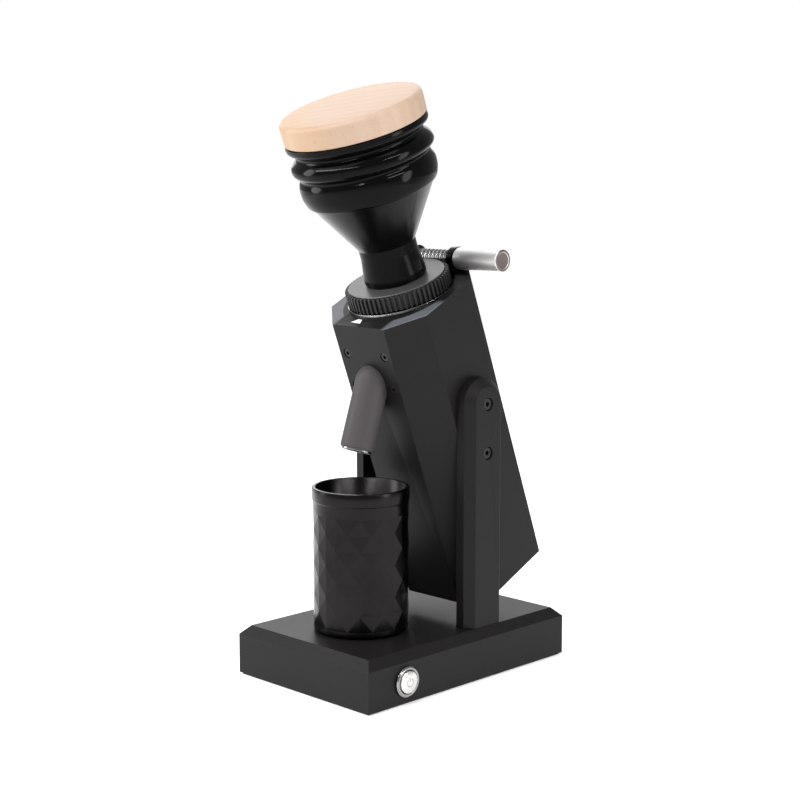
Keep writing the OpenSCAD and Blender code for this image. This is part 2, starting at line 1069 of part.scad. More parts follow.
worm_low = -left_ear_in + 0.4;
worm_high = ear_in - 0.4;
worm_len = worm_high - worm_low;
thread_points = 14;
thread_steps = 10;
// puts a crest of the thread midway between two teeth of the dial
thread_phase = 90 + 360 * worm_low / tooth_pitch;

module worm_shaft() {
    color("silver")
        head()
            translate([0, worm_y, worm_z]) {
                rod_x(journal_r, -left_ear_in - left_ear_t - 1, knob_end - 6);
                translate([worm_low, 0, 0])
                    rotate([0, 90, 0])
                        rotate([0, 0, thread_phase])
                            linear_extrude(worm_len, twist = -360 * worm_len / tooth_pitch,
                                slices = ceil(thread_steps * worm_len / tooth_pitch),
                                $fn = thread_points)
                                polygon([for (i = [0:thread_points - 1])
                                    let (a = i * 360 / thread_points)
                                    worm_outline(a) * [cos(a), sin(a)]]);
            }
}

module knob() {
    knob_foot = ear_in + ear_t + 0.4;
    color([0.82, 0.82, 0.82])
        head()
            translate([0, worm_y, worm_z])
                rotate([0, 90, 0])
                    difference() {
                        translate([0, 0, knob_foot])
                            rotate_extrude()
                                polygon([[0, 0], [knob_r - 0.6, 0], [knob_r, 0.6],
                                    [knob_r, knob_end - knob_foot - 0.9],
                                    [knob_r - 0.9, knob_end - knob_foot],
                                    [0, knob_end - knob_foot]]);
                        rod(journal_r, knob_foot - cut, knob_end - 6);
                    }
}

// ---------- dial ----------
// outline of the toothed rim: each tooth has two tip and two root corners
function rim_points() = [for (i = [0:dial_teeth - 1]) for (k = [0:3])
    let (step = 360 / dial_teeth)
    let (half = step * tooth_share / 2)
    let (root_half = half * dial_r / (dial_r - tooth_depth))
    let (a = i * step + 90 + [-root_half, -half, half, root_half][k])
    let (r = (k == 0 || k == 3) ? dial_r - tooth_depth : dial_r)
    r * [cos(a), sin(a)]];

module grind_dial() {
    color([0.2, 0.2, 0.2])
        head()
            difference() {
                union() {
                    translate([0, 0, dial_foot])
                        linear_extrude(dial_h - 1)
                            polygon(rim_points());
                    translate([0, 0, dial_top - 1])
                        cylinder(r1 = dial_r - tooth_depth, r2 = dial_r - tooth_depth - 0.6, h = 1);
                    rod(hub_r, hub_foot, dial_foot);
                }
                rod(sleeve_r, hub_foot - cut, dial_top + cut);
            }
}

module dial_retainer() {
    color([0.55, 0.55, 0.56])
        head()
            tube(hub_r + retainer_w, hub_r, hub_foot, cover_foot - gap);
}

module upper_carrier() {
    color([0.55, 0.55, 0.56])
        head()
            difference() {
                union() {
                    rod(sleeve_r - run, flange_top, sleeve_top);
                    rod(burr_r - 0.5, upper_top, flange_top);
                }
                rod(sleeve_bore, upper_top - cut, sleeve_top + cut);
                guide_places()
                    rod(guide_r + run, upper_top - cut, flange_top + cut);
                upper_screw_places()
                    rod(m3, upper_top - cut, flange_top + cut);
            }
}

// a flat burr with slanting cutting grooves on the side that faces z = 0
module burr_disc() {
    grooves = 24;
    difference() {
        tube(burr_r, burr_bore, -burr_t, 0);
        for (i = [0:grooves - 1])
            rotate([0, 0, i * 360 / grooves])
                translate([burr_bore - 2, 3, -1.6])
                    rotate([0, 0, 14])
                        cube([burr_r, 1.6, 3]);
    }
}

burr_screw_ring = (burr_r + burr_bore) / 2 + 0.5;

module upper_screw_places() {
    for (a = [90, 210, 330])
        rotate([0, 0, a])
            translate([burr_screw_ring, 0, 0])
                children();
}

module upper_burr() {
    color([0.75, 0.75, 0.75])
        head()
            difference() {
                translate([0, 0, upper_foot])
                    mirror([0, 0, 1])
                        burr_disc();
                upper_screw_places()
                    translate([0, 0, upper_foot + 2])
                        mirror([0, 0, 1])
                            flat_sink(m3, burr_t);
            }
}

module burr_screws() {
    color("silver")
        head()
            upper_screw_places()
                translate([0, 0, upper_foot + 2])
                    mirror([0, 0, 1])
                        flat_screw(m3, burr_t - 2 + flange_t - 1);
}

module lower_burr() {
    color([0.75, 0.75, 0.75])
        head()
            translate([0, 0, lower_top])
                burr_disc();
}

module lower_carrier() {
    color([0.6, 0.6, 0.6])
        head()
            difference() {
                union() {
                    rod(burr_r, carrier_foot, lower_foot);
                    rod(burr_bore - loose / 2, lower_foot, lower_foot + 4);
                    for (a = [0:90:270])
                        rotate([0, 0, a])
                            translate([burr_r - 8, -1.5, carrier_foot - 2])
                                cube([8, 3, 3]);
                }
                rod(shaft_r, carrier_foot - 3, 0);
            }
}

module drive_shaft() {
    color([0.8, 0.8, 0.8])
        head()
            rod(shaft_r, motor_foot + 0.5, lower_top - 1);
}

module rotor() {
    color([0.4, 0.4, 0.42])
        head()
            tube(13.8, shaft_r, motor_foot + bell_t + 12, motor_top - bell_t - 12);
}

module feed_auger() {
    auger_low = lower_foot + 4;
    auger_high = upper_top + 3;
    color([0.7, 0.7, 0.7])
        head()
            difference() {
                union() {
                    rod(8, auger_low, auger_high);
                    for (a = [0, 180])
                        rotate([0, 0, a])
                            translate([4, -1.5, auger_low])
                                cube([9, 3, 8]);
                }
                rod(shaft_r, auger_low - cut, lower_top - 1);
            }
}

// ---------- hopper ----------
module hopper_neck() {
    stub_top = cone_foot + 1;
    color([0.07, 0.07, 0.07])
        head()
            difference() {
                rotate_extrude()
                    polygon([[0, neck_foot], [neck_lip_r - 1, neck_foot],
                        [neck_lip_r - 0.3, neck_foot + 0.3], [neck_lip_r, neck_foot + 1],
                        [neck_lip_r, neck_foot + 4], [neck_lip_r - 0.5, neck_foot + 7.5],
                        [neck_r + 0.3, neck_foot + 14], [neck_r, neck_foot + 17],
                        [neck_r, stub_top], [0, stub_top]]);
                rod(14, neck_foot - cut, stub_top + cut);
                rod(16, stub_top - 8, stub_top + cut);
            }
    color([0.07, 0.07, 0.07])
        head()
            tube(sleeve_bore - gap, 14, neck_foot - 9, neck_foot);
}

module hopper_cone() {
    stub_top = cone_foot + 1;
    wall = cone_wall * 1.25;
    color([0.2, 0.2, 0.2])
        head()
            difference() {
                rotate_extrude()
                    polygon([[0, stub_top - 8], [16, stub_top - 8], [16, stub_top],
                        [neck_r + 0.2, stub_top], [cone_r, cuff_foot + 2],
                        [cone_r, cone_top], [0, cone_top]]);
                rotate_extrude()
                    polygon([[0, stub_top - 9], [14, stub_top - 9], [14, stub_top + 1],
                        [cone_r - wall, cuff_foot + 3.4], [cone_r - wall, cone_top + cut],
                        [0, cone_top + cut]]);
            }
}

// outline of the rubber: cuff, groove, fold, groove and lip, from low to high
fold_low = lid_foot - 22.3;
fold_mid = lid_foot - 16.3;
fold_high = lid_foot - 8.3;

module bellows() {
    w = bellows_wall;
    seat_r = cone_r;
    color([0.04, 0.04, 0.04])
        head()
            rotate_extrude()
                polygon([[seat_r, cuff_foot + 2.2], [seat_r + 0.4, cuff_foot + 0.3],
                    [seat_r + 1, cuff_foot], [seat_r + 3.4, cuff_foot + 7],
                    [seat_r + 3.7, fold_low - 3.4], [seat_r + 1.7, fold_low],
                    [seat_r + 5, fold_mid - 2.6], [seat_r + 5.5, fold_mid],
                    [seat_r + 4.8, fold_mid + 3], [seat_r + 0.9, fold_high],
                    [seat_r + 4.9, lid_foot - 4.4], [seat_r + 5.5, lid_foot - 2.5],
                    [seat_r + 5, lid_foot], [seat_r - 0.7, lid_foot],
                    [seat_r - 0.7, lid_foot - 3.4], [seat_r + 2.4, lid_foot - 4.6],
                    [seat_r + 0.9 - w, fold_high], [seat_r + 4.8 - w, fold_mid + 2],
                    [seat_r + 5.5 - w, fold_mid], [seat_r + 5 - w, fold_mid - 1.8],
                    [seat_r + 1.8 - w, fold_low], [seat_r + 1.2, fold_low - 3.4],
                    [seat_r, cone_top]]);
}

module lid() {
    rim_low = 1;
    rim_high = 3.5;
    lid_top = lid_foot + lid_t;
    color([0.86, 0.68, 0.5])
        head()
            rotate_extrude()
                polygon([[0, lid_foot], [hopper_r - rim_low, lid_foot], [hopper_r, lid_foot + rim_low],
                    [hopper_r, lid_top - rim_high],
                    for (a = [15:15:90])
                        [hopper_r - rim_high + rim_high * cos(a), lid_top - rim_high + rim_high * sin(a)],
                    [0, lid_top]]);
}

module lid_plug() {
    color([0.1, 0.1, 0.1])
        head()
            tube(cone_r - 0.7 - gap, 30, lid_foot - 5, lid_foot);
}

// ---------- cup ----------
module dosing_cup() {
    floor_t = 3;
    edge = 2.5;
    color([0.1, 0.1, 0.1])
        translate([0, -cup_y, base_top_z])
            rotate_extrude()
                polygon([[0, 0], [cup_r - edge, 0],
                    for (a = [-75:15:0])
                        [cup_r - edge + edge * cos(a), edge + edge * sin(a)],
                    [cup_r, cup_h - cup_band], [cup_r + 0.6, cup_h - cup_band + 0.4],
                    [cup_r + 0.6, cup_h - 0.4], [cup_r + 0.2, cup_h],
                    [cup_r - cup_wall, cup_h], [cup_r - cup_wall, floor_t + edge],
                    for (a = [0:15:90])
                        [cup_r - cup_wall - edge + edge * cos(a), floor_t + edge - edge * sin(a)],
                    [0, floor_t]]);
}

base_shell();
bottom_plate();
base_pad();
base_screws();
board_standoffs();
control_board();
transformer();
capacitors();
heat_sink();
button_bezel();
button_cap();
button_nut();
button_terminals();
power_inlet();
inlet_nut();
left_leg();
right_leg();
leg_fixing_screws();
leg_screws();
clamp_bars();
body_shell();
top_cover();
top_screws();
pointer_mark();
bottom_cap();
bottom_cap_screws();
front_screws();
spout();
spout_ring();
grinding_chamber();
motor_screws();
motor_housing();
stator();
motor_bearings();
shaft_seal();
motor_cable();
cable_grommet();
guide_pins();
dial_washer();
worm_yoke();
yoke_screws();
drive_shaft();
rotor();
lower_carrier();
lower_burr();
feed_auger();
grind_dial();
dial_retainer();
upper_carrier();
upper_burr();
burr_screws();
worm_shaft();
knob();
hopper_neck();
hopper_cone();
bellows();
lid();
lid_plug();
dosing_cup();
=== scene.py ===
import json
import math

import bmesh
import bpy
import numpy as np
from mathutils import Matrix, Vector


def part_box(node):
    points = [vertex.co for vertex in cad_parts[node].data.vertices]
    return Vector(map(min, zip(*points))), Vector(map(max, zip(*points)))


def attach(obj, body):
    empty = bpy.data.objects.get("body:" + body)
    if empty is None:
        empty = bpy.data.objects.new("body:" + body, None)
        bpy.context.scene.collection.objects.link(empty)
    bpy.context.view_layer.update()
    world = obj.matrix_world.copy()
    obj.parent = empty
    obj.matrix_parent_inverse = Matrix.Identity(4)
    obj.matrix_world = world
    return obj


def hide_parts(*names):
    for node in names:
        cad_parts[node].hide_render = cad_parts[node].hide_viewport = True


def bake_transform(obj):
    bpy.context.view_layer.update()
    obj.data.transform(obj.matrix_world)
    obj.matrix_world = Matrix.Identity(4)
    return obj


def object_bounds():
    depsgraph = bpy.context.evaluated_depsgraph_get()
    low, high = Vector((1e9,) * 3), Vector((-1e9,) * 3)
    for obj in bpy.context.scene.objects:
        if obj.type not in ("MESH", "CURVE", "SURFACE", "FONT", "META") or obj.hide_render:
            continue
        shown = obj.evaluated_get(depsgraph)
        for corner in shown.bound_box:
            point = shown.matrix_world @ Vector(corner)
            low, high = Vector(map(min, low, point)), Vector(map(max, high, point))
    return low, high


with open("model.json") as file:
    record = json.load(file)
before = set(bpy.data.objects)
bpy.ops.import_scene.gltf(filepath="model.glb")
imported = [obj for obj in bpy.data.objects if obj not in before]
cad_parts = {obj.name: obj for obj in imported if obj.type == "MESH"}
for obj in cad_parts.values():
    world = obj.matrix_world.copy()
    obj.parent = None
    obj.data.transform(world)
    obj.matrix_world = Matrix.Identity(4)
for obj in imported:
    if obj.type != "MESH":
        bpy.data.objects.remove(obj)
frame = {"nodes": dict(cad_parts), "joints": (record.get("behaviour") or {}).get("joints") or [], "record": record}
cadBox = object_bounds()
print("stage: model loaded,", len(frame["nodes"]), "nodes")

# places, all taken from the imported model
mm = 0.001
jointNamed = {joint["name"]: joint for joint in frame["joints"]}
axisPoint = np.array(jointNamed["burr_spin"]["pos_m"], float)
axisUp = np.array(jointNamed["burr_spin"]["axis"], float)
axisX = np.array([1.0, 0.0, 0.0])
axisBack = np.cross(axisUp, axisX)
lean = math.atan2(-axisUp[1], axisUp[2])
wormPoint = np.array(jointNamed["worm_turn"]["pos_m"], float)


# where the vertices of a CAD node are, a row each
def cadPoints(node):
    mesh = frame["nodes"][node].data
    flat = np.empty(len(mesh.vertices) * 3)
    mesh.vertices.foreach_get("co", flat)
    return flat.reshape(-1, 3)


# lowest height, greatest height and greatest radius of a CAD node round an axis
def spanOf(node, origin=axisPoint, direction=axisUp):
    offset = cadPoints(node) - origin
    height = offset @ direction
    radius = np.linalg.norm(offset - height[:, None] * direction, axis=1)
    return height.min(), height.max(), radius.max()


# shader maths: one output socket, and arithmetic on it adds Math nodes to its finish
class Signal:
    def __init__(self, finish, socket):
        self.finish = finish
        self.socket = socket

    def math(self, operation, *terms):
        return self.finish.add("ShaderNodeMath", {"operation": operation}, dict(enumerate(terms)))

    def __add__(self, other):
        return self.math("ADD", self, other)

    def __radd__(self, other):
        return self.math("ADD", other, self)

    def __sub__(self, other):
        return self.math("SUBTRACT", self, other)

    def __rsub__(self, other):
        return self.math("SUBTRACT", other, self)

    def __mul__(self, other):
        return self.math("MULTIPLY", self, other)

    def __rmul__(self, other):
        return self.math("MULTIPLY", other, self)

    def __pow__(self, other):
        return self.math("POWER", self, other)

    def __lt__(self, other):
        return self.math("LESS_THAN", self, other)

    def __gt__(self, other):
        return self.math("GREATER_THAN", self, other)

    def __abs__(self):
        return self.math("ABSOLUTE", self)


# one material and the nodes in it
class Finish:
    def __init__(self, name):
        self.material = bpy.data.materials.new(name)
        self.material.use_nodes = True
        self.tree = self.material.node_tree
        self.tree.nodes.clear()
        self.place = self.add("ShaderNodeTexCoord", out="Object")

    # any node: settings first, then its sockets' values or links
    def add(self, kind, settings=None, sockets=None, out=0):
        node = self.tree.nodes.new(kind)
        for key, value in (settings or {}).items():
            setattr(node, key, value)
        for key, value in (sockets or {}).items():
            if isinstance(value, Signal):
                self.tree.links.new(value.socket, node.inputs[key])
            else:
                node.inputs[key].default_value = value
        return Signal(self, node.outputs[out])

    # object coordinates measured from a point, along turned axes, in steps of scale
    def local(self, origin, turn, scale=(1, 1, 1)):
        return self.add("ShaderNodeMapping", {"vector_type": "TEXTURE"},
                        {"Vector": self.place, "Location": tuple(origin), "Rotation": turn, "Scale": scale})

    def parts(self, vector):
        node = self.add("ShaderNodeSeparateXYZ", {}, {0: vector}).socket.node
        return [Signal(self, node.outputs[i]) for i in range(3)]

    def noise(self, scale, detail=2, rough=0.5, vector=None):
        return self.add("ShaderNodeTexNoise", {}, {"Vector": vector or self.place, "Scale": scale,
                                                   "Detail": detail, "Roughness": rough})

    # a straight-line change from one pair of values to another, held at the ends
    def between(self, value, fromLow, fromHigh, toLow=0, toHigh=1):
        return self.add("ShaderNodeMapRange", {"clamp": True},
                        {0: value, 1: fromLow, 2: fromHigh, 3: toLow, 4: toHigh})

    # the first tone where the factor is 0, blended with the second where it is 1
    def tint(self, factor, first, second, way="MIX"):
        return self.add("ShaderNodeMix", {"data_type": "RGBA", "blend_type": way},
                        {0: factor, 6: asTone(first), 7: asTone(second)}, out=2)

    def bump(self, height, depth, strength):
        return self.add("ShaderNodeBump", {}, {"Height": height, "Distance": depth, "Strength": strength})

    # the closing shader; others are named after its sockets, with _ for a space
    def shade(self, tone, rough, metal=0.0, normal=None, **others):
        sockets = {"Base Color": asTone(tone), "Roughness": rough, "Metallic": metal}
        if normal is not None:
            sockets["Normal"] = normal
        sockets.update({key.replace("_", " "): value for key, value in others.items()})
        surface = self.add("ShaderNodeBsdfPrincipled", {}, sockets)
        output = self.tree.nodes.new("ShaderNodeOutputMaterial")
        self.tree.links.new(surface.socket, output.inputs["Surface"])
        return self.material


# a colour socket wants four parts
def asTone(tone):
    return tone if isinstance(tone, Signal) or len(tone) == 4 else (*tone, 1.0)


# a tone made brighter or darker in the same hue
def scaled(tone, by):
    return tuple(min(1.0, part * by) for part in tone)


# painted metal: an even coat with orange peel, pores and a few pale specks
def coat(name, tone, rough, grain=1500, depth=0.00006, fleck=0.25, sheen=0.15):
    f = Finish(name)
    cloud = f.noise(16, 3)
    peel = f.noise(grain, 3, 0.55)
    pores = f.noise(grain * 3.4, 1)
    base = f.tint(f.between(cloud, 0.3, 0.7), scaled(tone, 0.92), scaled(tone, 1.08))
    speck = f.between(f.noise(grain * 2.2, 1), 0.62, 0.72, 0, fleck)
    base = f.tint(speck, base, scaled(tone, 2.2))
    roughness = rough + 0.10 * (peel - 0.5) + 0.06 * (cloud - 0.5)
    normal = f.bump(peel + 0.3 * pores, depth, 0.6)
    return f.shade(base, roughness, 0.0, normal, Specular_IOR_Level=sheen)


# plated or anodised metal: a fine blasted skin under a cloudy tone
def anodised(name, tone, rough, metal, fine=4200):
    f = Finish(name)
    cloud = f.noise(30, 3)
    blast = f.noise(fine, 2, 0.6)
    base = f.tint(f.between(cloud, 0.3, 0.7), scaled(tone, 0.9), scaled(tone, 1.12))
    roughness = rough + 0.12 * (blast - 0.5) + 0.05 * (cloud - 0.5)
    return f.shade(base, roughness, metal, f.bump(blast, 0.00002, 0.5), Specular_IOR_Level=0.35)


# metal turned on a lathe: fine rings across the direction of its axis
def turned(name, tone, rough, origin, turn, along, pitch=0.00035, depth=0.000012):
    f = Finish(name)
    x, y, z = f.parts(f.local(origin, turn))
    run = (x, y, z)[along]
    ring = f.noise(1 / pitch, 2, 0.7, f.add("ShaderNodeCombineXYZ", {}, {0: run, 1: 0.0, 2: 0.0}))
    cloud = f.noise(60, 3)
    base = f.tint(f.between(cloud, 0.3, 0.7), scaled(tone, 0.94), scaled(tone, 1.04))
    roughness = rough + 0.16 * (ring - 0.5) + 0.08 * (cloud - 0.5)
    return f.shade(base, roughness, 1.0, f.bump(ring, depth, 0.7))


# sand cast metal: a grained skin with small pits
def castMetal(name, tone, rough):
    f = Finish(name)
    grain = f.noise(900, 4, 0.6)
    pits = f.between(f.add("ShaderNodeTexVoronoi", {}, {"Vector": f.place, "Scale": 700.0}), 0, 0.35)
    base = f.tint(grain, scaled(tone, 0.85), scaled(tone, 1.1))
    return f.shade(base, rough + 0.2 * (grain - 0.5), 1.0, f.bump(grain + 0.4 * pits, 0.00006, 0.5))


# rubber: a smooth skin with a dull bloom in patches
def rubber(name, tone, rough, bloom, gloss=0.5):
    f = Finish(name)
    skin = f.noise(700, 3)
    dust = f.between(f.noise(45, 4, 0.6), 0.45, 0.75, 0, bloom)
    base = f.tint(dust, tone, scaled(tone, 2.6))
    roughness = rough + 0.5 * dust + 0.06 * (skin - 0.5)
    return f.shade(base, roughness, 0.0, f.bump(skin, 0.00002, 0.35), Specular_IOR_Level=gloss)


# moulded plastic: an even tone with a fine grain
def plastic(name, tone, rough, grain=1800, gloss=0.5):
    f = Finish(name)
    grainy = f.noise(grain, 3)
    cloud = f.noise(40, 2)
    base = f.tint(cloud, scaled(tone, 0.93), scaled(tone, 1.07))
    roughness = rough + 0.12 * (grainy - 0.5)
    return f.shade(base, roughness, 0.0, f.bump(grainy, 0.00002, 0.5), Specular_IOR_Level=gloss)


# wood: rings across the board, long fibres and short flecks, and a warmer, darker band towards the rim, painted
# shade for the lid's side
def wood(name, light, dark, edge, origin, turn, wide):
    f = Finish(name)
    x, y, z = f.parts(f.local(origin, turn))
    wander = f.noise(14, 3, 0.5, f.local(origin, turn, (5.0, 1.0, 1.0)))
    rings = f.add("ShaderNodeTexWave", {"wave_type": "BANDS", "bands_direction": "Y", "wave_profile": "SIN"},
                  {"Vector": f.local(origin, turn, (6.0, 1.0, 1.6)), "Scale": 36.0, "Distortion": 5.0,
                   "Detail": 3.0, "Detail Scale": 0.7, "Detail Roughness": 0.6}, out=1)
    fibre = f.noise(1500, 3, 0.6, f.local(origin, turn, (22.0, 1.0, 1.0)))
    fleck = f.noise(900, 2, 0.5, f.local(origin, turn, (7.0, 1.0, 1.0)))
    dash = f.between(fleck, 0.63, 0.7)
    base = f.tint(f.between(rings, 0.1, 0.9, 0, 0.55), light, dark)
    base = f.tint(f.between(wander, 0.35, 0.65, 0, 0.3), base, scaled(dark, 0.97))
    base = f.tint(f.between(fibre, 0.4, 0.65, 0, 0.35), base, scaled(light, 1.06))
    base = f.tint(dash * 0.4, base, scaled(dark, 0.72))
    # painted shade: the rim band darkens and warms the lid's edge and side
    radius = (x * x + y * y) ** 0.5
    rim = f.between(radius, wide - 4.5 * mm, wide - 0.2 * mm, 0, 0.85)
    base = f.tint(rim, base, edge, "MULTIPLY")
    roughness = 0.46 + 0.1 * (fibre - 0.5)
    return f.shade(base, roughness, 0.0, f.bump(fibre + 0.5 * rings - 0.6 * dash, 0.00004, 0.4))


coverShape = {  # in mm on the cover's own axes, with z up the dial's axis
    "seat": 37.6,                           # radius of the turned seat
    "halfDepth": 41.5,                      # from the axis back to the front edge
    "rise": math.tan(math.radians(6.5)),    # slope of the top face
    "sideFrom": 20.0, "sideTo": 23.0,       # the painted crescent from here outwards, on both sides
    "frontFrom": -4.0, "frontTo": -9.0,     # and from here forwards
    "lipFrom": -0.7, "lipTo": -0.4,         # height against the top face where the side walls end
}


# the cover's coat, with a pale bluish crescent painted where the dial's seat runs out over the bevelled corners:
# partly bare metal, partly painted highlight
def coverCoat(name, tone, bareAndHighlightTone, rough):
    f = Finish(name)
    peel = f.noise(1500, 3, 0.55)
    x, y, z = f.parts(f.local(axisPoint, (lean, 0, 0), (mm, mm, mm)))
    radius = (x * x + y * y) ** 0.5
    side = f.between(abs(x), coverShape["sideFrom"], coverShape["sideTo"])
    side = side * f.between(y, coverShape["frontFrom"], coverShape["frontTo"])
    overTop = z - (y + coverShape["halfDepth"]) * coverShape["rise"]
    # painted highlight: the crescent lies between the seat circle and the top face's edge
    crescentBareAndHighlight = f.between(radius, coverShape["seat"], coverShape["seat"] + 0.5) * side
    crescentBareAndHighlight = crescentBareAndHighlight * f.between(overTop, coverShape["lipFrom"], coverShape["lipTo"])
    rings = f.noise(2.2, 2, 0.6, f.add("ShaderNodeCombineXYZ", {}, {0: radius}))
    base = f.tint(f.between(f.noise(16, 3), 0.3, 0.7), scaled(tone, 0.92), scaled(tone, 1.08))
    # the crescent's pale tone is partly bare metal and partly painted highlight
    base = f.tint(crescentBareAndHighlight * (0.7 + 0.6 * (rings - 0.5)), base, bareAndHighlightTone)
    roughness = rough + 0.10 * (peel - 0.5) - 0.1 * crescentBareAndHighlight
    return f.shade(base, roughness, 0.0, f.bump(peel * (1 - crescentBareAndHighlight), 0.00006, 0.6), Specular_IOR_Level=0.15)


coatTone = (0.0078, 0.0070, 0.0073)
finishOf = {
    "black_coat": coat("powderCoat", coatTone, 0.41),
    "spout_coat": coat("spoutCoat", (0.058, 0.052, 0.0545), 0.46, grain=1900, depth=0.00004),
    "black_anodised": anodised("cupAnodising", (0.0175, 0.0165, 0.0169), 0.25, 1.0),
    "dial_black": coat("dialBlack", (0.022, 0.021, 0.0215), 0.38, grain=2300, depth=0.00005, fleck=0.5),
    "bare_steel": turned("bareSteel", (0.30, 0.30, 0.30), 0.20, axisPoint, (lean, 0, 0), 2),
    "zinc_steel": anodised("zincSteel", (0.56, 0.57, 0.58), 0.30, 1.0, 2400),
    "black_steel": anodised("blackSteel", (0.022, 0.021, 0.022), 0.32, 0.5, 2600),
    "satin_knob": turned("satinKnob", (0.92, 0.91, 0.90), 0.46, wormPoint, (0, 0, 0), 0),
    "cast_aluminium": castMetal("castAluminium", (0.55, 0.56, 0.58), 0.42),
    "rubber_black": rubber("glossRubber", (0.0014, 0.0013, 0.0013), 0.12, 0.02, 0.09),
    "pad_rubber": rubber("padRubber", (0.018, 0.018, 0.018), 0.72, 0.2),
    "neck_plastic": plastic("neckPlastic", (0.0026, 0.0024, 0.0025), 0.20, gloss=0.06),
    # the third tone is painted shade, multiplied in towards the lid's rim
    "beech": wood("beechWood", (0.44, 0.318, 0.238), (0.41, 0.275, 0.192), (1.0, 0.93, 0.78),
                  axisPoint, (lean, 0, 0.35), spanOf("lid")[2]),
    "board_green": plastic("boardLacquer", (0.02, 0.16, 0.06), 0.32, 900),
    "part_plastic": plastic("partPlastic", (0.05, 0.05, 0.055), 0.4, 1200),
    "winding": turned("copperWinding", (0.72, 0.33, 0.16), 0.3, axisPoint, (lean, 0, 0), 2, 0.0009, 0.00018),
    "brass": anodised("brass", (0.75, 0.56, 0.25), 0.28, 1.0, 1800),
    "white_inlay": plastic("whiteInlay", (0.78, 0.77, 0.75), 0.5, 2600),
}
dialFace = coat("dialFace", (0.062, 0.060, 0.061), 0.36, grain=2600, depth=0.00009, fleck=0.7, sheen=0.5)
knobEnd = turned("turnedEnd", (0.20, 0.165, 0.155), 0.36, wormPoint, (0, 0, 0), 0)
print("stage: finishes made,", len(finishOf))

# every CAD node gets the finish of its slot in the record
slotOfNode = {part["node"]: part["material_slot"] for part in frame["record"]["subparts"]}
bodyOfNode = {node: body for body, group in frame["record"]["behaviour"]["bodies"].items() for node in group}
for node, part in frame["nodes"].items():
    part.data.materials.clear()
    part.data.materials.append(finishOf[slotOfNode[node]])
# painted shade: the bare steel sleeve at the neck's foot gets a near-black finish, so no bright line shows there
frame["nodes"]["upper_carrier"].data.materials[0] = finishOf["black_steel"]
# the third tone is the pale crescent: partly bare metal, partly painted highlight
frame["nodes"]["top_cover"].data.materials[0] = coverCoat("coverCoat", coatTone, (0.145, 0.154, 0.176), 0.40)
print("stage: nodes painted")


# a mesh from numpy points and faces, smooth apart from edges sharper than an angle in degrees
def newPiece(name, node, verts, faces, sharp):
    mesh = bpy.data.meshes.new(name)
    mesh.from_pydata(verts.reshape(-1, 3), [], faces)
    mesh.validate()
    mesh.shade_smooth()
    mesh.set_sharp_from_angle(angle=math.radians(sharp))
    mesh.materials.append(finishOf[slotOfNode[node]])
    piece = bpy.data.objects.new(name, mesh)
    bpy.context.scene.collection.objects.link(piece)
    return piece


# a piece stands in for one node and rides on that node's body
def settle(piece, node):
    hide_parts(node)
    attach(piece, bodyOfNode[node])


# four-sided faces of a grid of rows and columns whose last column meets the first;
# ring joins the last row to the first too
def gridFaces(rows, columns, ring=False):
    row = np.arange(rows if ring else rows - 1)[:, None] * columns
    column = np.arange(columns)[None, :]
    beside = (column + 1) % columns
    above = (row + columns) % (rows * columns)
    return np.stack([row + column, row + beside, above + beside, above + column], -1).reshape(-1, 4).tolist()


# three-sided faces that close the first and the last row of a grid on the two points after it
def endFaces(rows, columns):
    low = rows * columns
    last = low - columns
    faces = [(low, (j + 1) % columns, j) for j in range(columns)]
    return faces + [(low + 1, last + j, last + (j + 1) % columns) for j in range(columns)]


# a profile of (radius, height) pairs turned round an axis:
# point = origin + height * up + radius * (cos(turn) * across + sin(turn) * back)
# with a ring profile the two ends join, otherwise each end closes in a point on the axis;
# wobble changes radius and height by the turn, as for teeth
def turnedPiece(name, node, profile, count, origin=axisPoint, up=axisUp, across=axisX,
                ring=False, sharp=35, wobble=None):
    profile = np.array(profile, float)
    turn = np.linspace(0, 2 * math.pi, count, endpoint=False)
    radius = np.repeat(profile[:, :1], count, 1)
    height = np.repeat(profile[:, 1:], count, 1)
    if wobble is not None:
        radius, height = wobble(radius, height, turn[None, :])
    back = np.cross(up, across)
    spoke = np.cos(turn)[:, None] * across + np.sin(turn)[:, None] * back
    verts = (origin + height[..., None] * up + radius[..., None] * spoke[None]).reshape(-1, 3)
    faces = gridFaces(len(profile), count, ring)
    if not ring:
        verts = np.vstack([verts, origin + profile[0, 1] * up, origin + profile[-1, 1] * up])
        faces += endFaces(len(profile), count)
    return newPiece(name, node, verts, faces, sharp)


# corners given as (radius, height, round): each round corner becomes a parabola that touches both its sides,
# (1 - t)^2 * start + 2 t (1 - t) * corner + t^2 * stop
def rounded(corners, steps, ring=False):
    out = []
    count = len(corners)
    for k, (r, h, size) in enumerate(corners):
        here = np.array([r, h])
        if size <= 0 or (not ring and k in (0, count - 1)):
            out.append(here)
            continue
        first = np.array(corners[k - 1][:2]) - here
        second = np.array(corners[(k + 1) % count][:2]) - here
        a, b = first / np.linalg.norm(first), second / np.linalg.norm(second)
        half = math.acos(max(-1, min(1, float(a @ b)))) / 2
        reach = min(size / math.tan(half), 0.48 * min(np.linalg.norm(first), np.linalg.norm(second)))
        t = np.linspace(0, 1, steps + 1)[:, None]
        start, stop = here + a * reach, here + b * reach
        out.extend((1 - t) ** 2 * start + 2 * t * (1 - t) * here + t ** 2 * stop)
    return np.array(out)


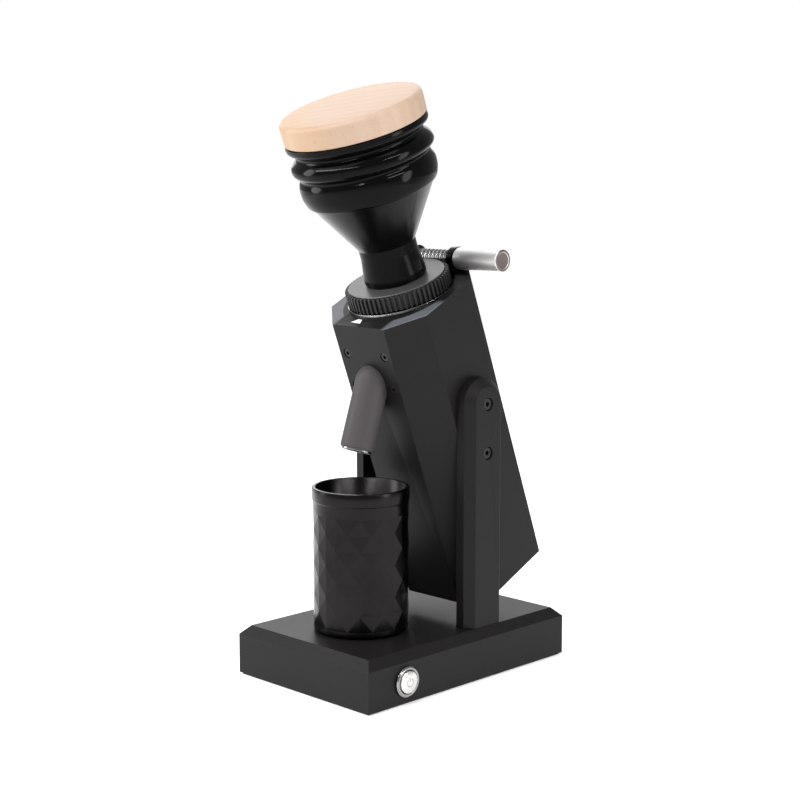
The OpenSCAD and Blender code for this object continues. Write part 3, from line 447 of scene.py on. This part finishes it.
# a smooth closed line through the given points: each stretch is a cubic
# whose slope at a point is half the step between its two neighbours
def smoothRing(points, steps):
    p = np.array(points, float)
    before, after = np.roll(p, 1, 0), np.roll(p, -1, 0)
    slope = (after - before) / 2
    t = np.linspace(0, 1, steps, endpoint=False)[None, :, None]
    a, b = p[:, None], after[:, None]
    ta, tb = slope[:, None], np.roll(slope, -1, 0)[:, None]
    line = ((2 * t ** 3 - 3 * t ** 2 + 1) * a + (t ** 3 - 2 * t ** 2 + t) * ta
            + (3 * t ** 2 - 2 * t ** 3) * b + (t ** 3 - t ** 2) * tb)
    return line.reshape(-1, 2)


# crisp machined parts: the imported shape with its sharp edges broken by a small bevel, in mm
edgeBreak = {
    "base_shell": 1.2, "left_leg": 0.5, "right_leg": 0.5, "body_shell": 0.35, "top_cover": 0.35,
    "bottom_cap": 0.3, "worm_yoke": 0.3, "spout_ring": 0.12, "dial_washer": 0.15,
}
sharpEdge = math.radians(28)
for node, width in edgeBreak.items():
    mesh = frame["nodes"][node].data.copy()
    work = bmesh.new()
    work.from_mesh(mesh)
    bmesh.ops.remove_doubles(work, verts=work.verts, dist=0.000002)
    bmesh.ops.dissolve_degenerate(work, edges=work.edges, dist=0.000001)
    bmesh.ops.dissolve_limit(work, angle_limit=math.radians(0.6), verts=work.verts, edges=work.edges)
    work.to_mesh(mesh)
    work.free()
    mesh.shade_smooth()
    mesh.set_sharp_from_angle(angle=sharpEdge)
    piece = bpy.data.objects.new(node + "_edged", mesh)
    bpy.context.scene.collection.objects.link(piece)
    bevel = piece.modifiers.new("edge", "BEVEL")
    bevel.width = width * mm
    bevel.segments = 3
    bevel.limit_method = "ANGLE"
    bevel.angle_limit = sharpEdge
    bevel.use_clamp_overlap = True
    bevel.harden_normals = True
    settle(piece, node)
print("stage: machined parts edged")

# lid: a thick turned disc with a generous top edge
lidShape = {"pole": 0.5, "topRound": 3.6, "footRound": 1.0, "crown": 0.5, "crownFrom": 0.6, "crownRound": 20}
low, high, wide = spanOf("lid")
lid = turnedPiece("lid_turned", "lid", rounded([
    (lidShape["pole"] * mm, low, 0),
    (wide, low, lidShape["footRound"] * mm),
    (wide, high - lidShape["crown"] * mm, lidShape["topRound"] * mm),
    (wide * lidShape["crownFrom"], high, lidShape["crownRound"] * mm),
    (lidShape["pole"] * mm, high, 0)], 10), count=192)
settle(lid, "lid")

# bellows: moulded rubber with a cuff, a fold and a lip, as one closed skin
# the folds are points of (radius beyond the seat, height above the foot), in mm
bellowsShape = {
    "tall": 42.6, "foldOut": 5.5,               # the widest fold's reach beyond the seat
    "outerCuff": [(0.25, 2.9), (1.2, 2.3), (2.2, 3.6), (3.2, 6.4), (3.75, 9.2), (3.8, 13.0), (3.2, 16.6)],
    "outerFold": [(2.0, 19.0), (2.0, 20.6), (3.7, 22.4), (5.2, 24.3), (5.5, 26.3), (4.9, 28.9), (3.2, 31.2)],
    "outerLip": [(1.2, 33.2), (1.1, 35.0), (2.7, 36.4), (4.6, 37.7), (5.45, 39.4), (5.45, 41.1), (4.9, 42.3)],
    "innerLip": [(0.0, 42.5), (-0.7, 41.4), (-0.6, 39.6), (1.2, 38.0), (0.4, 36.8), (-1.3, 35.0)],
    "innerFold": [(-1.2, 33.0), (1.0, 30.4), (2.9, 28.2), (3.2, 26.3), (2.7, 24.8), (1.2, 22.9), (-0.3, 20.8)],
    "innerCuff": [(-0.4, 19.2), (0.6, 17.2), (1.0, 13.0), (0.9, 9.0), (0.1, 4.6)],
    "stillBelow": 0.41, "movesAbove": 0.95,     # share of the height where the squeeze starts and ends
}
low, high, wide = spanOf("bellows")
outside = bellowsShape["outerCuff"] + bellowsShape["outerFold"] + bellowsShape["outerLip"]
inside = bellowsShape["innerLip"] + bellowsShape["innerFold"] + bellowsShape["innerCuff"]
profile = smoothRing(outside + inside, 5) * mm
profile[:, 0] += wide - bellowsShape["foldOut"] * mm
profile[:, 1] = low + np.clip(profile[:, 1], 0, None) * (high - low) / (bellowsShape["tall"] * mm)
bellows = turnedPiece("bellows_moulded", "bellows", profile, count=176, ring=True, sharp=180)
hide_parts("bellows")
axisPoint + axisUp * (low + bellowsShape["stillBelow"] * (high - low))
axisPoint + axisUp * (low + bellowsShape["movesAbove"] * (high - low))
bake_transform(bellows)

# dial: a gear rim whose teeth have broken corners, below a flat face
dialShape = {
    "teeth": 64, "tip": 33.5, "depth": 1.8,
    "rim": 1.2,                                 # the teeth are cut where the radius is within this of the tip
    "land": 0.40, "flank": 0.10,                # shares of half a tooth's pitch
    "topBreak": 0.35, "ledge": 0.9, "step": 2.2, "face": 2.6, "faceBreak": 0.4,
    "sleeve": 19.0, "hub": 25.0, "clear": 0.3,
}
low, high, wide = spanOf("grind_dial")
rimFoot = spanOf("dial_washer")[1] + dialShape["clear"] * mm


# radius falls from the tip to the root between two teeth:
# share of the depth = ramp of the distance from the tooth's middle
def toothed(radius, height, turn):
    phase = (turn - math.pi / 2) * dialShape["teeth"] / (2 * math.pi)
    distance = np.abs(phase - np.round(phase)) * 2
    slot = np.clip((distance - dialShape["land"]) / dialShape["flank"], 0, 1)
    inTeeth = radius > wide - dialShape["rim"] * mm
    return radius - inTeeth * slot * dialShape["depth"] * mm, height


sleeve, hub, broken = dialShape["sleeve"] * mm, dialShape["hub"] * mm, dialShape["topBreak"] * mm
step, face = wide - dialShape["step"] * mm, wide - dialShape["face"] * mm
toothTop = high - dialShape["ledge"] * mm
dialProfile = [
    (sleeve, low), (hub, low), (hub, rimFoot), (hub + 0.1 * mm, rimFoot), (face, rimFoot),
    (wide - broken, rimFoot), (wide, rimFoot + broken), (wide, toothTop - broken), (wide - broken, toothTop),
    (step, toothTop), (step, high - dialShape["faceBreak"] * mm), (face, high),
    (sleeve + 1.2 * mm, high), (sleeve + 0.2 * mm, high), (sleeve, high - 0.2 * mm)]
dial = turnedPiece("grind_dial_cut", "grind_dial", dialProfile, count=dialShape["teeth"] * 16,
                   ring=True, sharp=30, wobble=toothed)
dial.data.materials.append(dialFace)
faceFrom = axisPoint @ axisUp + high - 0.55 * mm
onFace = [int(Vector(axisUp) @ poly.center > faceFrom) for poly in dial.data.polygons]
dial.data.polygons.foreach_set("material_index", onFace)
settle(dial, "grind_dial")

# worm: one thread wound round a shaft
# radius = tip minus depth * ramp of the angle between a point and the thread's crest,
# which turns once in each pitch
wormShape = {
    "tip": 5.3, "depth": 1.7, "journal": 2.5, "endBreak": 0.3, "from": -13.6, "to": 15.1,
    "pitch": 2 * math.pi * dialShape["tip"] / dialShape["teeth"],       # one tooth for each turn
    "crest": 0.2, "flank": 0.42,                                        # shares of half a turn
    "around": 48, "along": 190,
}
low, high = spanOf("worm_shaft", wormPoint, axisX)[:2]
threadFrom, threadTo, around = wormShape["from"], wormShape["to"], wormShape["around"]
station = np.concatenate([[low / mm, low / mm + wormShape["endBreak"], threadFrom - 0.02],
                          np.linspace(threadFrom, threadTo, wormShape["along"]),
                          [threadTo + 0.02, high / mm]])
turn = np.linspace(0, 2 * math.pi, around, endpoint=False)
crest = math.pi / 2 + 2 * math.pi * station[:, None] / wormShape["pitch"]
away = np.abs((turn[None] - crest + math.pi) % (2 * math.pi) - math.pi) / math.pi
fall = np.clip((away - wormShape["crest"]) / wormShape["flank"], 0, 1)
inThread = (station >= threadFrom - 0.001) & (station <= threadTo + 0.001)
radius = np.where(inThread[:, None], wormShape["tip"] - wormShape["depth"] * fall, wormShape["journal"]) * mm
radius[0] -= wormShape["endBreak"] * mm
spoke = np.sin(turn)[:, None] * axisBack - np.cos(turn)[:, None] * axisUp
verts = wormPoint + station[:, None, None] * mm * axisX + radius[..., None] * spoke[None]
verts = np.vstack([verts.reshape(-1, 3), wormPoint + axisX * low, wormPoint + axisX * high])
faces = gridFaces(len(station), around) + endFaces(len(station), around)
worm = newPiece("worm_cut", "worm_shaft", verts, faces, 50)
settle(worm, "worm_shaft")

# knob: a turned bar with broken ends and a slightly sunk end face
knobShape = {"pole": 0.4, "footRound": 0.5, "endRound": 0.9, "rim": 1.6, "slope": 0.3, "sunk": 0.25}
low, high, wide = spanOf("knob", wormPoint, axisX)
pole, rim, sunk = knobShape["pole"] * mm, wide - knobShape["rim"] * mm, high - knobShape["sunk"] * mm
knob = turnedPiece("knob_turned", "knob", rounded([
    (pole, low, 0), (wide, low, knobShape["footRound"] * mm), (wide, high, knobShape["endRound"] * mm),
    (rim, high, 0.25 * mm), (rim - knobShape["slope"] * mm, sunk, 0.2 * mm), (pole, sunk, 0)], 4),
    origin=wormPoint, up=axisX, across=axisBack, count=96, sharp=50)
knob.data.materials.append(knobEnd)
settle(knob, "knob")
endFrom = wormPoint[0] + high - 0.5 * mm
inEnd = [int(poly.center.x > endFrom and abs(poly.normal.x) > 0.8) for poly in knob.data.polygons]
knob.data.polygons.foreach_set("material_index", inEnd)

# dosing cup: long diamond facets below a plain band
# a lattice of corners stands on the wall, each row turned half a step from the one below;
# between two corners of a row the wall runs nearly straight,
# so a grid point there sits at radius * (1 - soft * (1 - cos(half a step)))
cupShape = {
    "columns": 12, "rows": 7, "soft": 0.45, "lowest": 4.7, "highest": 75.2,
    "band": 8.5, "proud": 0.6, "underBand": 5.5, "wall": 1.6, "floor": 3.0, "footRound": 2.5,
    "rimOut": 0.5, "rimIn": 0.25, "pole": 0.5,
}
lowCorner, highCorner = (np.array(corner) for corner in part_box("dosing_cup"))
cupAxis = (lowCorner + highCorner) / 2
cupAxis[2] = lowCorner[2]
tall = highCorner[2] - lowCorner[2]
wide = (highCorner[0] - lowCorner[0]) / 2
outerWall = wide - cupShape["proud"] * mm
innerWall = wide - (cupShape["proud"] + cupShape["wall"]) * mm
band = tall - cupShape["band"] * mm
bend, foot, pole = cupShape["footRound"] * mm, cupShape["floor"] * mm, cupShape["pole"] * mm
rimOut, rimIn = cupShape["rimOut"] * mm, cupShape["rimIn"] * mm
quarter = np.linspace(0, math.pi / 2, 7)
below = np.column_stack([outerWall - bend + bend * np.sin(quarter), bend - bend * np.cos(quarter)])
heights = np.linspace(cupShape["lowest"], cupShape["highest"], cupShape["rows"] + 1) * mm
lattice = np.column_stack([np.full(len(heights), outerWall), heights])
above = [
    (outerWall, band - cupShape["underBand"] * mm), (outerWall, band - 0.3 * mm),
    (outerWall + 0.1 * mm, band), (wide - 0.1 * mm, band + 0.35 * mm), (wide, band + 0.6 * mm),
    (wide, tall - rimOut), (wide - 0.3 * rimOut, tall - 0.3 * rimOut), (wide - rimOut, tall),
    (innerWall + rimIn, tall), (innerWall, tall - rimIn), (innerWall, foot + bend)]
under = np.column_stack([innerWall - bend + bend * np.cos(quarter), foot + bend - bend * np.sin(quarter)])[1:]
cupProfile = np.vstack([[(pole, 0)], below, lattice, above, under, [(pole, foot)]])
firstRow = 1 + len(below)
columns = 2 * cupShape["columns"]


# the corners of the lattice keep the wall's radius and the points between them move in
def facetCorners(radius, height, turn):
    row = np.arange(len(radius))[:, None] - firstRow
    column = np.arange(columns)[None, :]
    between = (row >= 0) & (row <= cupShape["rows"]) & ((row + column) % 2 == 1)
    flat = 1 - cupShape["soft"] * (1 - math.cos(math.pi / cupShape["columns"]))
    return np.where(between, radius * flat, radius), height


cup = turnedPiece("cup_faceted", "dosing_cup", cupProfile, origin=cupAxis, up=np.array([0, 0, 1.0]),
                  count=columns, sharp=180, wobble=facetCorners)
work = bmesh.new()
work.from_mesh(cup.data)
work.faces.ensure_lookup_table()
inLattice = range(firstRow * columns, (firstRow + cupShape["rows"]) * columns)
cells = [work.faces[index] for index in inLattice]
for index, face in zip(inLattice, cells):   # each cell splits along the ridge between its two outer corners
    corner = (index % columns + index // columns - firstRow) % 2
    verts = list(face.verts)
    other = bmesh.utils.face_split(face, verts[corner], verts[corner + 2])[0]
    face.smooth = False
    other.smooth = False
work.to_mesh(cup.data)
work.free()
settle(cup, "dosing_cup")

# button: a bright bezel round a domed cap with an engraved ring mark
buttonShape = {
    "proud": 2.2, "collar": 1.5, "slope": 0.8, "throat": 0.9, "clear": 0.08,        # bezel
    "pole": 0.3, "dome": 0.85, "domeIn": 0.5, "edgeDown": 0.45, "edgeIn": 0.12, "edgeRise": 0.14,   # cap
}
markShape = {"ringIn": 2.15, "ringOut": 2.75, "gapHalf": 0.95, "barHalf": 0.3, "barFrom": 0.5, "barTo": 3.1}
lowCorner, highCorner = (np.array(corner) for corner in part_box("button_bezel"))
capLow, capHigh = (np.array(corner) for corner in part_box("button_cap"))
proud = buttonShape["proud"] * mm
buttonAxis = (lowCorner + highCorner) / 2
buttonAxis[0] = highCorner[0] - proud
bezelR, capR = (highCorner[2] - lowCorner[2]) / 2, (capHigh[2] - capLow[2]) / 2
deep, slope, throat = lowCorner[0] - buttonAxis[0], buttonShape["slope"] * mm, buttonShape["throat"] * mm
holeR, collarR = capR + buttonShape["clear"] * mm, bezelR - buttonShape["collar"] * mm
alongY = np.array([0, 1.0, 0])
bezel = turnedPiece("bezel_turned", "button_bezel", rounded([
    (holeR, deep, 0), (collarR, deep, 0), (collarR, 0, 0),
    (bezelR, 0, 0.1 * mm), (bezelR, proud - slope, 0.35 * mm), (bezelR - slope, proud, 0.3 * mm),
    (capR + throat, proud, 0.3 * mm), (holeR, proud - throat, 0)], 5, ring=True),
    origin=buttonAxis, up=axisX, across=alongY, count=128, ring=True, sharp=50)
settle(bezel, "button_bezel")

# the cap's dome: height = top - dome * share^2, where share is the part of the radius
share = np.linspace(0.02, 1, 12)[::-1]
deep, top = capLow[0] - buttonAxis[0], capHigh[0] - buttonAxis[0]
domeR = capR - buttonShape["domeIn"] * mm
dome = np.column_stack([share * domeR, top - buttonShape["dome"] * mm * share ** 2])
edge = dome[0, 1]
buttonCap = turnedPiece("button_cap_domed", "button_cap", np.vstack([
    [(buttonShape["pole"] * mm, deep), (capR, deep), (capR, edge - buttonShape["edgeDown"] * mm),
     (capR - buttonShape["edgeIn"] * mm, edge - buttonShape["edgeRise"] * mm)], dome]),
    origin=buttonAxis, up=axisX, across=alongY, count=96, sharp=40)


# the mark: a ring open at the top with a short bar through the gap, cut into brushed metal
def markedCap(name, tone, markTone, origin):
    f = Finish(name)
    x, y, z = f.parts(f.local(origin, (0, 0, 0), (mm, mm, mm)))
    radius = (y * y + z * z) ** 0.5
    ring = (radius > markShape["ringIn"]) * (radius < markShape["ringOut"])
    gap = (abs(y) < markShape["gapHalf"]) * (z > 0.0)
    bar = (abs(y) < markShape["barHalf"]) * (z > markShape["barFrom"]) * (z < markShape["barTo"])
    openRing = ring * (1 - gap)
    mark = openRing + bar - openRing * bar
    brushed = f.noise(40, 2, 0.6, f.local(origin, (0, 0, 0), (1, 1, 0.02)))
    base = f.tint(mark * 0.55, tone, markTone)
    roughness = 0.26 + 0.25 * (brushed - 0.5) + 0.25 * mark
    return f.shade(base, roughness, 1.0, f.bump(brushed * 0.15 - mark, 0.00012, 0.6))


buttonCap.data.materials[0] = markedCap("capBrushed", (0.66, 0.65, 0.64), (0.16, 0.16, 0.165), buttonAxis)
settle(buttonCap, "button_cap")
print("stage: pieces made")

# floor, light and camera
studio = {
    "floorReach": 6.0, "glow": 0.27,        # the floor gives off a little light, so it stays pale far away
    "fill": 0.42, "backdrop": 1.0,          # light from all round, and what shows past the floor's edge
    "sun": 1.6, "sunAzimuth": -30, "sunRise": 60, "sunSoftness": 60,
}
reach = studio["floorReach"]
floorMesh = bpy.data.meshes.new("floor")
floorMesh.from_pydata([(-reach, -reach, 0), (reach, -reach, 0), (reach, reach, 0), (-reach, reach, 0)],
                      [], [(0, 1, 2, 3)])
floor = bpy.data.objects.new("floor", floorMesh)
bpy.context.scene.collection.objects.link(floor)
paper = Finish("palePaper")
paperTone = paper.tint(paper.noise(3, 2), (0.87, 0.87, 0.87), (0.89, 0.89, 0.89))
floorMesh.materials.append(paper.shade(paperTone, 0.85, Emission_Color=(1, 1, 1, 1),
                                       Emission_Strength=studio["glow"]))

world = bpy.data.worlds.new("studio")
bpy.context.scene.world = world
world.use_nodes = True
sky = world.node_tree.nodes
fill = sky["Background"]
backdrop = sky.new("ShaderNodeBackground")
for light, strength in ((fill, studio["fill"]), (backdrop, studio["backdrop"])):
    light.inputs["Color"].default_value = (1, 1, 1, 1)
    light.inputs["Strength"].default_value = strength
seen = sky.new("ShaderNodeLightPath")
mixed = sky.new("ShaderNodeMixShader")
link = world.node_tree.links.new
link(seen.outputs["Is Camera Ray"], mixed.inputs[0])
link(fill.outputs[0], mixed.inputs[1])
link(backdrop.outputs[0], mixed.inputs[2])
link(mixed.outputs[0], sky["World Output"].inputs[0])


# the direction towards a place at an azimuth, from the front towards the right side, and a height angle
def towards(azimuth, rise):
    a, e = math.radians(azimuth), math.radians(rise)
    return Vector((math.sin(a) * math.cos(e), -math.cos(a) * math.cos(e), math.sin(e)))


# looks or shines along a direction
def aim(thing, direction):
    thing.rotation_euler = direction.to_track_quat("-Z", "Y").to_euler()


cameraShape = {"azimuth": 44.9, "rise": 8.08, "lens": 74.0, "sensor": 36, "place": (0.7278, -0.7340, 0.3196)}
camera = bpy.data.objects.new("camera", bpy.data.cameras.new("camera"))
bpy.context.scene.collection.objects.link(camera)
camera.location = cameraShape["place"]
aim(camera, -towards(cameraShape["azimuth"], cameraShape["rise"]))
camera.data.lens = cameraShape["lens"]
camera.data.sensor_width = cameraShape["sensor"]
camera.data.clip_start = 0.05
camera.data.clip_end = 40
bpy.context.scene.camera = camera

middle = Vector(((cadBox[0][0] + cadBox[1][0]) / 2, (cadBox[0][1] + cadBox[1][1]) / 2, cadBox[1][2] / 2))
lights = {  # azimuth, height angle, distance, width, height, watts
    "softboxLeft": (-52, 14, 1.4, 0.5, 0.9, 7.2),
    "softboxRight": (106, 14, 1.3, 0.4, 0.8, 5.5),
    "softboxTop": (40, 72, 1.2, 0.9, 0.5, 3),
    "softboxBack": (-128, 24, 1.5, 1.5, 1.0, 7.6),
    "stripLeft": (-8, 34, 1.3, 1.5, 0.04, 9),
    "stripRight": (82, 34, 1.3, 0.6, 0.04, 4.5),
}
for name, (azimuth, rise, away, wide, tall, watts) in lights.items():
    lamp = bpy.data.objects.new(name, bpy.data.lights.new(name, "AREA"))
    lamp.data.shape = "ELLIPSE" if name.startswith("softbox") else "RECTANGLE"
    lamp.data.size = wide
    lamp.data.size_y = tall
    lamp.data.energy = watts
    side = towards(azimuth, rise)
    lamp.location = middle + side * away
    aim(lamp, -side)
    lamp.visible_camera = False
    bpy.context.scene.collection.objects.link(lamp)
sun = bpy.data.objects.new("skylight", bpy.data.lights.new("skylight", "SUN"))
sun.data.energy = studio["sun"]
sun.data.angle = math.radians(studio["sunSoftness"])
aim(sun, -towards(studio["sunAzimuth"], studio["sunRise"]))
bpy.context.scene.collection.objects.link(sun)
bpy.context.scene.view_settings.view_transform = "Standard"
print("stage: camera and lights set")
